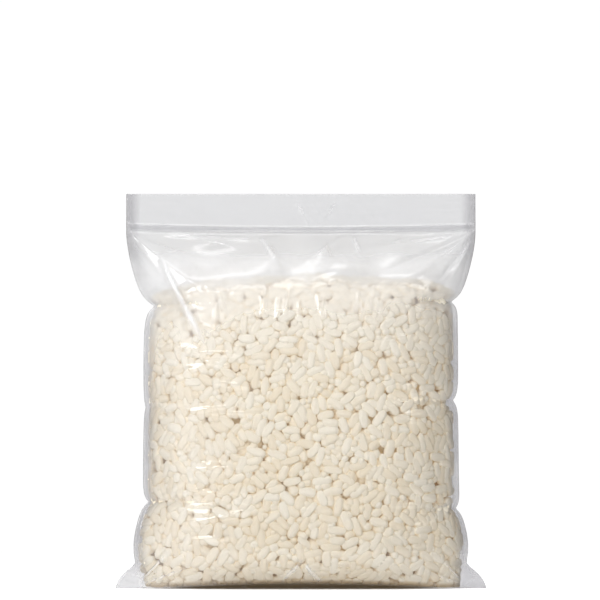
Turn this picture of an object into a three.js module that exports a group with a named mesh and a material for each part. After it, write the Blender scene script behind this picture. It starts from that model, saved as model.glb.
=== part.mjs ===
// A clear press-to-close bag of rice, shut and standing on its own weight.
// Millimetres, +Z up. The origin lies on the standing surface under the middle of the bag,
// the zip runs along X and the front of the bag faces -Y.
//
// The bag and the rice that fills it are one solid. It is lofted from level outlines: every
// outline is a front wall and a back wall that meet in the flat side welds.
import * as THREE from "three";
import { mergeVertices } from "three/addons/utils/BufferGeometryUtils.js";

// Driving dimensions
const bagHeight = 136; // standing surface to the top of the lips
const zipHalfWidth = 60.4; // half of the flat bag's 120.8 mm
const zipBottom = 123.3; // lower edge of the flat zip band
const headLength = 34; // below the band the outline draws in over this height
const bellyHalfWidth = 54.2; // the filled bag draws in to this
const footHalfWidth = 57.4; // and spreads again above the floor
const footHeight = 14; // where the foot is widest
const footSpread = 13; // and how far above and below that the widening reaches
const earHalfWidth = 63.5; // tips of the two bottom corners
const earHeight = 8.4;
const earRoundness = 2.0; // 1 is a straight upper edge, more is rounder
const earTuck = 0.8; // how far the filled body draws in at the floor, inside the ears
const weldWidth = 1.4; // flat side weld outside the filled body
const wall = 0.3; // half thickness of the flat film, two walls together

const bellyDepth = 19.4; // half depth of the filled body
const contactDepth = 11.5; // half depth of the flat foot
const footRadius = 13; // height over which the foot rounds out to the belly
const shoulderLean = 0.74; // how fast the head of the bag opens below the zip
const shoulderBlend = 6.4; // over how many millimetres the head and the belly blend
const upwardTaper = 0.028; // depth the belly loses per millimetre of height

// The belly's cross section is (1 - t^power)^root, with t from 0 in the middle to 1 at the weld.
// Above squareFrom it squares up over squareOver, and the head's own slopes take over.
const bellySection = { power: 2.5, root: 0.56, squareFrom: 94, squareOver: 12 };

// The head is the least of flat slopes: the wedge below the zip, taut facets that spring from
// the zip's corner (rise across and down, and how softly each meets the last), and a steep
// flank just inside the side weld.
const facets = [
  { across: 0.45, down: 0.2, softness: 0.022 },
  { across: 0.7, down: 0.0, softness: 0.008 },
];
const flank = { across: 1.1, inset: 0.4, blend: 0.5 };
const fullDepth = 2.5; // where the body is this deep, folds and dents have their full size

// Ribs pressed into the flat band, as heights and how far they stand proud
const ribs = [
  { z: 123.95, halfHeight: 1.2, proud: 0.75 }, // the closed zip track
  { z: 130.8, halfHeight: 0.5, proud: 0.25 }, // grip lines on the lips
  { z: 133.1, halfHeight: 0.5, proud: 0.25 },
];

// Places where a side weld is pinched in as the film buckles: side -1 is left, +1 right
const pinches = [
  { side: -1, z: 97.0, inward: 4.6, reach: 5.5 },
  { side: 1, z: 98.6, inward: 3.6, reach: 4.5 },
  { side: 1, z: 64.5, inward: 1.9, reach: 4.0 },
  { side: -1, z: 62.0, inward: 0.7, reach: 5.0 },
  { side: -1, z: 29.6, inward: 2.6, reach: 4.5 },
  { side: 1, z: 27.4, inward: 2.2, reach: 4.0 },
];
const pinchDepth = 0.33; // how deep a pinch creases the walls, per millimetre it moves in
const pinchLength = 17; // and how far in from the weld the crease runs

// Folds that fan out from the zip's corners and the middle of the zip, on the front (wall -1)
// and on the back (wall 1)
const folds = [
  { wall: -1, from: [-59, 122], to: [-33, 74], width: 2.4, lift: 1.0 },
  { wall: -1, from: [-58, 122.5], to: [-22, 112], width: 2.2, lift: 0.5 },
  { wall: -1, from: [59, 122], to: [47, 96], width: 1.8, lift: 0.7 },
  { wall: -1, from: [59, 122], to: [36, 97], width: 2.6, lift: 0.7 },
  { wall: -1, from: [58, 122.5], to: [19, 113], width: 2.2, lift: 0.5 },
  { wall: -1, from: [2, 122], to: [-6, 98], width: 4.5, lift: 0.9 },
  { wall: -1, from: [22, 122], to: [9, 103], width: 4.0, lift: 0.8 },
  { wall: 1, from: [59, 122], to: [34, 78], width: 2.6, lift: 0.9 },
  { wall: 1, from: [-59, 122], to: [-42, 92], width: 2.2, lift: 0.8 },
  { wall: 1, from: [-58, 122.5], to: [-18, 110], width: 2.6, lift: 0.5 },
  { wall: 1, from: [8, 122], to: [14, 100], width: 4.0, lift: 0.8 },
];
const pleat = { x: 0.4, halfWidth: 2.2, top: 10, depth: 1.2 }; // tuck in the front of the foot

// Mesh fineness
const pointsAcross = 27;

const smooth = (t) => {
  const c = Math.min(Math.max(t, 0), 1);
  return c * c * (3 - 2 * c);
};
const softMin = (a, b, blend) => {
  const h = Math.max(blend - Math.abs(a - b), 0) / blend;
  return Math.min(a, b) - (h * h * blend) / 4;
};

// Half width of the film's outline at height z, on one side: straight at the zip, drawn in
// round the belly, spread at the foot, and a rounded ear at each bottom corner.
function outlineHalfWidth(z, side) {
  const drawnIn = smooth((zipBottom - z) / headLength);
  const spread = Math.exp(-(((z - footHeight) / footSpread) ** 2));
  let half = zipHalfWidth + (bellyHalfWidth - zipHalfWidth) * drawnIn;
  half += (footHalfWidth - bellyHalfWidth) * spread;
  for (const p of pinches)
    if (p.side === side) half -= p.inward * Math.exp((-2 * Math.abs(z - p.z)) / p.reach);
  if (z < earHeight) half += (earHalfWidth - half) * (1 - (z / earHeight) ** earRoundness);
  return half;
}

// Half width of the part that holds rice; the rest of the outline is flat weld or ear.
function bodyHalfWidth(z, side) {
  const outline = outlineHalfWidth(Math.max(z, earHeight), side) - weldWidth;
  return outline - earTuck * (1 - smooth(z / earHeight));
}

// Half depth of the full belly in the middle of the bag: a rounded foot, then a slow taper.
function bellyHalfDepth(z) {
  const rise = Math.min(z / footRadius, 1);
  const round = Math.sqrt(1 - (1 - rise) ** 2);
  const full = contactDepth + (bellyDepth - contactDepth) * round;
  return full - upwardTaper * Math.max(z - footRadius, 0);
}

// Half depth that the head allows at (x, z).
function headHalfDepth(x, z, side) {
  const below = Math.max(zipBottom - z, 0);
  const inward = Math.max(zipHalfWidth - Math.abs(x), 0);
  const fromCorner = Math.hypot(inward, below) + 0.3;
  let head = below * shoulderLean;
  for (const f of facets)
    head = softMin(head, inward * f.across + below * f.down, fromCorner * f.softness);
  const rim = Math.max(outlineHalfWidth(z, side) - flank.inset - Math.abs(x), 0) * flank.across;
  return softMin(head, rim, flank.blend);
}

// Distance of a wall from the middle plane at (x, z): a flattened ellipse over the belly, the
// head's slopes below the zip, and the bare film outside the body.
function wallDepth(x, z, side, wallSide) {
  const body = bodyHalfWidth(z, side);
  const across = Math.min(Math.abs(x) / body, 1);
  const round = (1 - across ** bellySection.power) ** bellySection.root;
  const square = smooth((z - bellySection.squareFrom) / bellySection.squareOver);
  const belly = bellyHalfDepth(z) * (round + (1 - round) * square);
  let depth = Math.max(softMin(belly, headHalfDepth(x, z, side), shoulderBlend), 0);
  const full = Math.min(depth / fullDepth, 1);
  depth += foldLift(x, z, wallSide) * smooth(full * 1.5) * smooth((zipBottom - z) / 3);
  depth -= pinchDent(x, z, side, body) * smooth(full);
  if (wallSide < 0 && z < pleat.top) {
    const near = Math.exp(-(((x - pleat.x) / pleat.halfWidth) ** 2));
    depth -= pleat.depth * near * (1 - z / pleat.top);
  }
  return wall + Math.max(depth, 0) + ribProud(z);
}

// How far the folds lift the wall: each is a ridge along a straight line, highest at its middle.
function foldLift(x, z, wallSide) {
  let lift = 0;
  for (const f of folds) {
    if (f.wall !== wallSide) continue;
    const [ax, az] = f.from;
    const [bx, bz] = f.to;
    const length = Math.hypot(bx - ax, bz - az);
    const along = ((x - ax) * (bx - ax) + (z - az) * (bz - az)) / length ** 2;
    const off = ((x - ax) * (bz - az) - (z - az) * (bx - ax)) / length;
    if (along <= 0 || along >= 1) continue;
    const widening = f.width * (0.5 + along);
    lift += f.lift * Math.sin(Math.PI * along) * Math.exp(-((off / widening) ** 2));
  }
  return lift;
}

// How far a pinched weld creases the wall beside it.
function pinchDent(x, z, side, body) {
  const inFromWeld = smooth((Math.abs(x) - body + pinchLength) / pinchLength);
  let dent = 0;
  for (const p of pinches) {
    if (p.side !== side) continue;
    dent += pinchDepth * p.inward * Math.exp((-1.6 * Math.abs(z - p.z)) / p.reach);
  }
  return dent * inFromWeld;
}

function ribProud(z) {
  let proud = 0;
  for (const r of ribs) if (Math.abs(z - r.z) < r.halfHeight) proud = r.proud;
  return proud;
}

// Heights of the outlines: close together where the form turns quickly.
function outlineHeights() {
  const heights = [0, 0.5, 1.3, 2.4, 3.8, 5.2, 6.6, earHeight, 8.4, 10.8];
  const run = (from, to, step) => {
    for (let z = from; z < to - 1e-6; z += step) heights.push(z);
  };
  run(13.5, 24, 3.3);
  run(24, 34, 1.6);
  run(34, 58, 5);
  run(58, 70, 2.1);
  run(70, 91, 5);
  run(91, 103, 1.5);
  run(103, 122, 2.8);
  heights.push(122, zipBottom);
  for (const r of ribs) {
    heights.push(r.z - r.halfHeight - 0.05, r.z - r.halfHeight + 0.05);
    heights.push(r.z + r.halfHeight - 0.05, r.z + r.halfHeight + 0.05);
  }
  heights.push(bagHeight - 0.5, bagHeight);
  return [...new Set(heights)].sort((a, b) => a - b);
}

// Where a wall's points lie across one outline: two in each weld or ear, the rest over the
// body, closer together towards its sides.
function acrossPositions(z) {
  const left = -bodyHalfWidth(z, -1);
  const right = bodyHalfWidth(z, 1);
  const inner = pointsAcross - 4;
  const xs = [-outlineHalfWidth(z, -1), (left - outlineHalfWidth(z, -1)) / 2];
  for (let i = 0; i < inner; i++) {
    const angle = (Math.PI * i) / (inner - 1);
    const spread = 0.5 - 0.5 * Math.cos(angle);
    const even = i / (inner - 1);
    xs.push(left + (right - left) * (0.55 * spread + 0.45 * even));
  }
  xs.push((right + outlineHalfWidth(z, 1)) / 2, outlineHalfWidth(z, 1));
  return xs;
}

// The closed surface: outlines joined by bands of triangles, with a flat foot and a flat top.
function bagGeometry() {
  const heights = outlineHeights();
  const ring = 2 * pointsAcross;
  const positions = [];
  for (const z of heights) {
    const xs = acrossPositions(z);
    for (const x of xs) positions.push(x, -wallDepth(x, z, Math.sign(x) || 1, -1), z);
    for (const x of [...xs].reverse()) positions.push(x, wallDepth(x, z, Math.sign(x) || 1, 1), z);
  }
  const faces = [];
  for (let level = 0; level + 1 < heights.length; level++)
    for (let i = 0; i < ring; i++) {
      const a = level * ring + i;
      const b = level * ring + ((i + 1) % ring);
      faces.push(a, b, b + ring, a, b + ring, a + ring);
    }
  const last = (heights.length - 1) * ring;
  for (let i = 0; i + 1 < pointsAcross; i++) {
    const j = ring - 1 - i;
    faces.push(i, j, j - 1, i, j - 1, i + 1);
    faces.push(last + i, last + j - 1, last + j, last + i, last + i + 1, last + j - 1);
  }
  const geometry = new THREE.BufferGeometry();
  geometry.setAttribute("position", new THREE.Float32BufferAttribute(positions, 3));
  geometry.setIndex(faces);
  const merged = mergeVertices(geometry, 1e-4);
  merged.computeVertexNormals();
  return merged;
}

const filledBag = new THREE.MeshStandardMaterial({
  name: "rice seen through clear film",
  color: 0xe6dccb,
  roughness: 0.45,
  metalness: 0,
});

const bag = new THREE.Mesh(bagGeometry(), filledBag);
bag.name = "bag";

const bagOfRice = new THREE.Group();
bagOfRice.name = "bag_of_rice";
bagOfRice.add(bag);

export default bagOfRice;
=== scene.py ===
from math import atan2, radians

import bpy
import numpy as np
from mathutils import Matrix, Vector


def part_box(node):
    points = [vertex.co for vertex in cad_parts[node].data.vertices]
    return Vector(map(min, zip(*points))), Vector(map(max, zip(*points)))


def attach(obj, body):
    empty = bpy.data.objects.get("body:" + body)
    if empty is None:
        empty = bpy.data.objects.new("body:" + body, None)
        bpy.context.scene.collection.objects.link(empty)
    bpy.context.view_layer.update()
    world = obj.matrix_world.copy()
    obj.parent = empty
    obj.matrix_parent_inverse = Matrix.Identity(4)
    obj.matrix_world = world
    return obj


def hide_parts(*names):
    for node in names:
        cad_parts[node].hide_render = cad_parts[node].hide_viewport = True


# A clear press-to-close bag of rice, shut and standing. The rice is a packed shell of single
# grains over a smaller core, and the film is one closed skin drawn over those grains.
# Shapes are worked out in millimetres and go into the meshes in metres.
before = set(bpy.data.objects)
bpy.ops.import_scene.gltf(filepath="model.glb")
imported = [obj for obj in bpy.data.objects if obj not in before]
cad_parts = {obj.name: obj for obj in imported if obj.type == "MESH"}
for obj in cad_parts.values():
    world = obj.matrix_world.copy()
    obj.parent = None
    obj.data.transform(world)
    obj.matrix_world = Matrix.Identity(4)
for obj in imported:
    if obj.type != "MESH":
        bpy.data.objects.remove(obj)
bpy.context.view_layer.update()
bagLow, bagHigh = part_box("bag")
mm = 0.001
print("frame loaded, bag", [round(c / mm, 1) for c in bagLow], [round(c / mm, 1) for c in bagHigh])


view = {
    "distance": 1100,
    "eyeHeight": 16,  # the lens is just above the table
    "aimHeight": 99.2,  # the bag stands low in the frame
    "aimAcross": -0.3,
    "frameWidth": 207.2,  # what the picture takes in at the bag
    "sensor": 36,
}


def addCamera():
    # Straight in front of the bag. The lens length is sensor times distance over frame width.
    rise = view["aimHeight"] - view["eyeHeight"]
    reach = np.hypot(view["distance"], rise)
    camera = bpy.data.cameras.new("camera")
    camera.sensor_width = view["sensor"]
    camera.lens = view["sensor"] * reach / view["frameWidth"]
    camera.clip_start = 0.01
    cameraObject = bpy.data.objects.new("camera", camera)
    cameraObject.location = (view["aimAcross"] * mm, -view["distance"] * mm, view["eyeHeight"] * mm)
    cameraObject.rotation_euler = (radians(90) + atan2(rise, view["distance"]), 0, 0)
    bpy.context.scene.collection.objects.link(cameraObject)
    bpy.context.scene.camera = cameraObject


addCamera()


form = {
    "height": bagHigh.z / mm,
    "earHalf": bagHigh.x / mm,
    "zipHalf": 60.4,
    "zipBottom": 123.3,
    "headLength": 34,  # below the zip the outline draws in over this height
    "bellyHalf": 54.2,
    "footHalf": 57.4,
    "footHeight": 14,
    "footSpread": 13,
    "earHeight": 8.4,
    "earRoundness": 2.0,
    "earTuck": 0.8,  # the filled body draws in by this at the table, inside the ears
    "weld": 1.4,
    "wall": 0.3,
    "bellyDepth": 19.4,
    "contactDepth": 11.5,
    "footRadius": 13,
    "shoulderLean": 0.74,
    "shoulderBlend": 6.4,
    "upwardTaper": 0.028,
    "sectionPower": 2.5,
    "sectionRoot": 0.56,
    # taut facets from each zip corner: rise across, rise down, and how softly each meets the last
    "facets": [(0.45, 0.2, 0.022), (0.70, 0.0, 0.008)],
    "squareFrom": 94,  # above this the belly's section is no longer drawn in at its sides
    "squareOver": 12,
    "cornerBlend": 0.3,  # the facets' blend is no smaller than at this distance from the corner
    "flankAcross": 1.1,  # rise of the steep strip between those facets and the side weld
    "flankInset": 0.4,
    "flankBlend": 0.5,
    "archHeight": 1.5,  # the foot's front and back edges arch up by this between the corners
    "archHalf": 50,
    "archFade": 9,
    "seamWave": 1.0,  # the side welds sway this far to front and back
    "swayLengths": (6.5, 17),
    "swayFrom": 5,  # the sway begins this far inside the body's edge
    "swayOver": 6,
}
# Where a side weld is pinched in: side, height, how far in, and over what height
pinches = [
    (-1, 97.0, 4.6, 5.5),
    (1, 98.6, 3.6, 4.5),
    (1, 64.5, 1.9, 4.0),
    (-1, 62.0, 0.7, 5.0),
    (-1, 29.6, 2.6, 4.5),
    (1, 27.4, 2.2, 4.0),
]


def smooth(t):
    # 3t^2 - 2t^3 between 0 and 1, flat outside
    c = np.clip(t, 0, 1)
    return c * c * (3 - 2 * c)


def softMin(a, b, blend):
    # The smaller of two values, rounded where they are within blend of each other.
    h = np.maximum(blend - np.abs(a - b), 0) / blend
    return np.minimum(a, b) - h * h * blend / 4


def outlineHalf(z, side):
    # Half width of the flat outline: the zip's, drawn in to the belly's by a smooth step, plus a
    # bell curve at the foot, less a sharp dip at each pinch, and growing into the ear below.
    drawnIn = smooth((form["zipBottom"] - z) / form["headLength"])
    half = form["zipHalf"] + (form["bellyHalf"] - form["zipHalf"]) * drawnIn
    bell = np.exp(-(((z - form["footHeight"]) / form["footSpread"]) ** 2))
    half = half + (form["footHalf"] - form["bellyHalf"]) * bell
    for pinchSide, height, inward, reach in pinches:
        half = half - np.where(side == pinchSide, inward * np.exp(-2 * np.abs(z - height) / reach), 0)
    low = np.clip(z / form["earHeight"], 0, 1)
    return half + (form["earHalf"] - half) * (1 - low ** form["earRoundness"])


def bodyHalf(z, side):
    # Half width of the filled body, inside the weld; it rounds in over the ear's height.
    outline = outlineHalf(np.maximum(z, form["earHeight"]), side) - form["weld"]
    return outline - form["earTuck"] * (1 - smooth(z / form["earHeight"]))


def bellyDepth(z):
    # Half depth of the full part on the middle line: a quarter ellipse over the foot, then a
    # slow taper.
    rise = np.clip(z / form["footRadius"], 0, 1)
    bulge = np.sqrt(1 - (1 - rise) ** 2)
    belly = form["contactDepth"] + (form["bellyDepth"] - form["contactDepth"]) * bulge
    return belly - form["upwardTaper"] * np.maximum(z - form["footRadius"], 0)


def plainDepth(x, z):
    # Half depth anywhere. The belly is a superellipse across, square at the top; the head is
    # the least of a few flat slopes: the wedge down from the zip, the facets that spring from
    # the zip's corner, and a steep strip in from the weld. All are joined by soft minimums,
    # which between facets widen with the distance from the corner, as the edges of a cone do.
    side = np.where(x < 0, -1, 1)
    half = bodyHalf(z, side)
    below = np.maximum(form["zipBottom"] - z, 0)
    inward = np.maximum(form["zipHalf"] - np.abs(x), 0)
    head = below * form["shoulderLean"]
    fromCorner = np.hypot(inward, below) + form["cornerBlend"]
    for riseAcross, riseDown, softness in form["facets"]:
        head = softMin(head, inward * riseAcross + below * riseDown, fromCorner * softness)
    flank = np.maximum(outlineHalf(z, side) - form["flankInset"] - np.abs(x), 0) * form["flankAcross"]
    head = softMin(head, flank, form["flankBlend"])
    across = np.clip(np.abs(x) / half, 0, 1)
    section = (1 - across ** form["sectionPower"]) ** form["sectionRoot"]
    section = section + (1 - section) * smooth((z - form["squareFrom"]) / form["squareOver"])
    belly = bellyDepth(z) * section
    return form["wall"] + np.maximum(softMin(belly, head, form["shoulderBlend"]), 0)


def bent(points):
    # How the whole bag is bent, film and rice alike. Near the table, points lift by the arch
    # height times a parabola across the width, growing from the middle of the foot to its front
    # and back edge. Near the side welds they sway front to back with height, in two sines.
    x, y, z = points[..., 0], points[..., 1], points[..., 2]
    across = np.maximum(1 - (x / form["archHalf"]) ** 2, 0)
    outward = smooth(np.abs(y) / form["contactDepth"])
    lift = form["archHeight"] * across * outward * (1 - smooth(z / form["archFade"]))
    side = np.where(x < 0, -1, 1)
    nearWeld = smooth((np.abs(x) - bodyHalf(z, side) + form["swayFrom"]) / form["swayOver"])
    shortWave, longWave = form["swayLengths"]
    sway = np.sin(z / shortWave + side) * np.sin(z / longWave + 2 * side)
    sway = sway * form["seamWave"] * nearWeld * smooth(z / 10) * smooth((form["zipBottom"] - z) / 8)
    return np.stack([x, y + sway, z + lift], -1)


heap = {
    "crown": 107.6,  # top of the rice on the middle line
    "endDrop": 5.0,  # how much lower it lies at the two sides
    "endAt": 52,
    "wallDrop": 5.5,  # and against the front and back film
    "wallAt": 15,
    "leftDrop": 1.6,
    "leftFrom": 8,
    "leftOver": 30,
}


def heapTop(x, y):
    # Crown height, less a quartic across the width and a square across the depth, less a slope
    # to the left, with two low waves.
    across = np.abs(x) / heap["endAt"]
    top = heap["crown"] - heap["endDrop"] * across**4 - heap["wallDrop"] * (y / heap["wallAt"]) ** 2
    top = top - heap["leftDrop"] * smooth((-x - heap["leftFrom"]) / heap["leftOver"])
    return top + 0.5 * np.sin(x / 6.1 + 0.8) + 0.35 * np.sin(x / 2.9 + y / 4)


def lookup(grid, origin, step, a, b):
    # Bilinear reading of a regular grid at places (a, b).
    i = np.clip((a - origin[0]) / step, 0, grid.shape[0] - 1.001)
    j = np.clip((b - origin[1]) / step, 0, grid.shape[1] - 1.001)
    i0 = i.astype(int)
    j0 = j.astype(int)
    fi = i - i0
    fj = j - j0
    near = grid[i0, j0] * (1 - fi) + grid[i0 + 1, j0] * fi
    far = grid[i0, j0 + 1] * (1 - fi) + grid[i0 + 1, j0 + 1] * fi
    return near * (1 - fj) + far * fj


depthStep = 0.5
depthOrigin = (-66.0, -1.0)
gridX = np.arange(-66, 66.01, depthStep)
gridZ = np.arange(-1, 137.01, depthStep)
depthGrid = plainDepth(*np.meshgrid(gridX, gridZ, indexing="ij"))
slopeX, slopeZ = np.gradient(depthGrid, depthStep)
steepest = 4
sideHalf = {side: bodyHalf(gridZ, side) for side in (-1, 1)}


def wallGap(points):
    # First-order distance to the plain wall, (D - |y|) over the slope's length, and the inward
    # direction, which is the gradient of D - |y|; where a side weld is nearer, the way to that.
    x, y, z = points[..., 0], points[..., 1], points[..., 2]
    depth = lookup(depthGrid, depthOrigin, depthStep, x, z)
    gx = np.clip(lookup(slopeX, depthOrigin, depthStep, x, z), -steepest, steepest)
    gz = np.clip(lookup(slopeZ, depthOrigin, depthStep, x, z), -steepest, steepest)
    inward = np.stack([gx, -np.where(y < 0, -1.0, 1.0), gz], -1)
    length = np.sqrt((inward**2).sum(-1))
    gap = (depth - np.abs(y)) / length
    half = np.where(x < 0, np.interp(z, gridZ, sideHalf[-1]), np.interp(z, gridZ, sideHalf[1]))
    nearSide = (half - np.abs(x) < gap)[..., None]
    way = np.stack([np.where(x < 0, 1.0, -1.0), 0 * x, 0 * x], -1)
    return np.minimum(gap, half - np.abs(x)), np.where(nearSide, way, inward / length[..., None])


def nearestGap(points):
    # The least of the distances to wall, table and heap top, with the way in from it.
    gap, inward = wallGap(points)
    floorGap = points[..., 2] - form["wall"]
    topGap = heapTop(points[..., 0], points[..., 1]) - points[..., 2]
    up = np.array([0.0, 0.0, 1.0])
    nearFloor = floorGap < gap
    inward = np.where(nearFloor[..., None], up, inward)
    gap = np.minimum(gap, floorGap)
    nearTop = topGap < gap
    inward = np.where(nearTop[..., None], -up, inward)
    return np.minimum(gap, topGap), inward


def unit(vectors):
    return vectors / np.maximum(np.linalg.norm(vectors, axis=-1, keepdims=True), 1e-9)


def makePiece(name, points, faceSets, material, attributes=None):
    # points in millimetres; faceSets is a list of index arrays, one row a face
    points = bent(np.asarray(points))
    mesh = bpy.data.meshes.new(name)
    mesh.vertices.add(len(points))
    mesh.vertices.foreach_set("co", (points * mm).astype(np.float32).ravel())
    corners = np.concatenate([faces.ravel() for faces in faceSets]).astype(np.int32)
    sizes = np.concatenate([np.full(len(faces), faces.shape[1]) for faces in faceSets])
    mesh.loops.add(len(corners))
    mesh.loops.foreach_set("vertex_index", corners)
    mesh.polygons.add(len(sizes))
    mesh.polygons.foreach_set("loop_start", (np.cumsum(sizes) - sizes).astype(np.int32))
    mesh.polygons.foreach_set("use_smooth", np.ones(len(sizes), bool))
    mesh.update(calc_edges=True)
    mesh.validate()
    for key, values in (attributes or {}).items():
        attribute = mesh.attributes.new(key, "FLOAT", "POINT")
        attribute.data.foreach_set("value", np.asarray(values, np.float32).ravel())
    mesh.materials.append(material)
    piece = bpy.data.objects.new(name, mesh)
    bpy.context.scene.collection.objects.link(piece)
    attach(piece, "root")
    return piece


def ringFaces(ring, lowPole, highPole):
    # ring holds point numbers, one row a ring. Quads go between the rings and triangles from the
    # two poles to the first and last ring.
    after = np.roll(ring, -1, 1)
    quads = np.stack([ring[:-1], after[:-1], after[1:], ring[1:]], -1).reshape(-1, 4)
    pole = np.zeros(ring.shape[1], int)
    lowCap = np.stack([pole + lowPole, after[0], ring[0]], -1)
    highCap = np.stack([pole + highPole, ring[-1], after[-1]], -1)
    return quads, np.concatenate([lowCap, highCap])


def newMaterial(name):
    material = bpy.data.materials.new(name)
    material.use_nodes = True
    material.node_tree.nodes.clear()
    return material, material.node_tree


def feed(tree, socket, value):
    # value is a number or colour to keep on the socket, or another node's output to link to it
    if isinstance(value, bpy.types.NodeSocket):
        tree.links.new(value, socket)
    else:
        socket.default_value = value


def addNode(tree, kind, **values):
    # A node with its sockets fed by name; underscores in a socket's name stand for spaces.
    node = tree.nodes.new(kind)
    for key, value in values.items():
        if hasattr(node, key):
            setattr(node, key, value)
        else:
            feed(tree, node.inputs[key.replace("_", " ")], value)
    return node


def feedAll(tree, node, values):
    # Fills the node's sockets in order, numbered from 0 where values is a list.
    places = values if isinstance(values, dict) else dict(enumerate(values))
    for place, value in places.items():
        feed(tree, node.inputs[place], value)
    return node


def mathNode(tree, operation, *values):
    return feedAll(tree, addNode(tree, "ShaderNodeMath", operation=operation), values).outputs[0]


def mapRange(tree, value, low, high, toLow=0, toHigh=1, curve="LINEAR"):
    # value between low and high becomes toLow to toHigh, held at both ends
    node = addNode(tree, "ShaderNodeMapRange", interpolation_type=curve)
    return feedAll(tree, node, (value, low, high, toLow, toHigh)).outputs[0]


def mixColour(tree, factor, first, second, blend="MIX"):
    mix = addNode(tree, "ShaderNodeMix", data_type="RGBA", blend_type=blend)
    return feedAll(tree, mix, {0: factor, 6: first, 7: second}).outputs[2]


def mixShader(tree, factor, first, second):
    mix = addNode(tree, "ShaderNodeMixShader")
    return feedAll(tree, mix, (factor, first.outputs[0], second.outputs[0]))


def noiseNode(tree, scale, detail):
    place = addNode(tree, "ShaderNodeTexCoord").outputs["Object"]
    return addNode(tree, "ShaderNodeTexNoise", Vector=place, Scale=scale, Detail=detail).outputs["Fac"]


def attributeNode(tree, name):
    return addNode(tree, "ShaderNodeAttribute", attribute_name=name).outputs["Fac"]


def bumpNode(tree, height, strength, distance):
    bump = addNode(tree, "ShaderNodeBump", Height=height, Strength=strength, Distance=distance)
    return bump.outputs["Normal"]


grain = {
    "length": (6.2, 7.6),
    "width": 3.5,
    "thickness": 3.0,
    "midRadius": 1.24,  # the three balls that stand for a grain while it is packed
    "endRadius": 1.02,
    "shellDepth": 6.6,
    "fill": 1.04,  # rice in the shell; the grains are pressed a little into each other
    "volumeShare": 0.62,  # a grain's volume over its box
    "squeeze": 0.45,  # how far grains are pressed past the wall before they are flattened on it
    "filmClearance": 0.12,
    "brokenShare": 0.05,
    "brokenLength": (0.45, 0.7),
    "chalkyShare": 0.18,
    "lying": 0.3,  # share that lies along the film
    "standing": 0.2,  # share that shows the film an end
    "lieFlat": -0.8,
    "standUp": 1.6,
    "mesh": (5, 8),  # rings along a grain and points around it
    "steps": 320,
    "seed": 12,
}
packing = {
    "leastGap": 0.6,
    "push": 0.42,  # share of an overlap by which each of the two balls gives way
    "topPush": 0.6,
    "haste": 1.15,
    "pull": 0.06,
    "returnPull": 0.3,  # on grains that have sunk below the shell
    "settle": 0.03,  # how fast the grains near the film keep their lie
    "settleDepth": 3.5,
    "swing": 0.9,
    "leastArm": 1.2,
    "pairEvery": 6,  # steps between searches for neighbours
}


def nearbyPairs(points, owner, reach):
    # Balls of different grains closer than reach: sort them into cubes of that size, then
    # compare each cube with itself and with the thirteen cubes ahead of it.
    cell = np.floor((points - points.min(0)) / reach).astype(np.int64) + 1
    size = cell.max(0) + 2
    key = (cell[:, 0] * size[1] + cell[:, 1]) * size[2] + cell[:, 2]
    order = np.argsort(key, kind="stable")
    key = key[order]
    count = len(key)
    firsts = []
    seconds = []
    for ahead in range(14):
        dx, dy, dz = (ahead + 13) // 9 - 1, (ahead + 13) // 3 % 3 - 1, (ahead + 13) % 3 - 1
        target = key + (dx * size[1] + dy) * size[2] + dz
        start = np.arange(count) + 1 if ahead == 0 else np.searchsorted(key, target, "left")
        many = np.maximum(np.searchsorted(key, target, "right") - start, 0)
        first = np.repeat(np.arange(count), many)
        within = np.arange(many.sum()) - np.repeat(np.cumsum(many) - many, many)
        second = np.repeat(start, many) + within
        firsts.append(order[first])
        seconds.append(order[second])
    first = np.concatenate(firsts)
    second = np.concatenate(seconds)
    apart = ((points[first] - points[second]) ** 2).sum(1)
    keep = (owner[first] != owner[second]) & (apart < reach * reach)
    return first[keep], second[keep]


def scatterGrains(rng):
    # A lattice with one grain's share of room a cell, each place moved at random within its
    # cell, kept in the shell under the film, table and heap top. Each grain gets a random
    # direction, and some are laid along the film.
    oneVolume = np.mean(grain["length"]) * grain["width"] * grain["thickness"] * grain["volumeShare"]
    cell = (oneVolume / grain["fill"]) ** (1 / 3)
    low = np.array([-form["footHalf"], -form["bellyDepth"], 0])
    high = np.array([form["footHalf"], form["bellyDepth"], heap["crown"] + 1])
    counts = np.ceil((high - low) / cell).astype(int)
    places = low + (np.indices(counts).reshape(3, -1).T + rng.random((np.prod(counts), 3))) * cell
    gap, inward = nearestGap(places)
    inside = (gap > packing["leastGap"]) & (gap < grain["shellDepth"])
    places = places[inside]
    inward = inward[inside]
    count = len(places)
    axes = unit(rng.normal(size=(count, 3)))
    tilt = (axes * inward).sum(1, keepdims=True)
    draw = rng.random(count)
    bias = np.where(draw > 1 - grain["standing"], grain["standUp"], 0.0)
    bias = np.where(draw < grain["lying"], grain["lieFlat"], bias)
    axes = unit(axes + bias[:, None] * np.where(bias[:, None] < 0, tilt, np.sign(tilt)) * inward)
    return places, axes, bias


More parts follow.
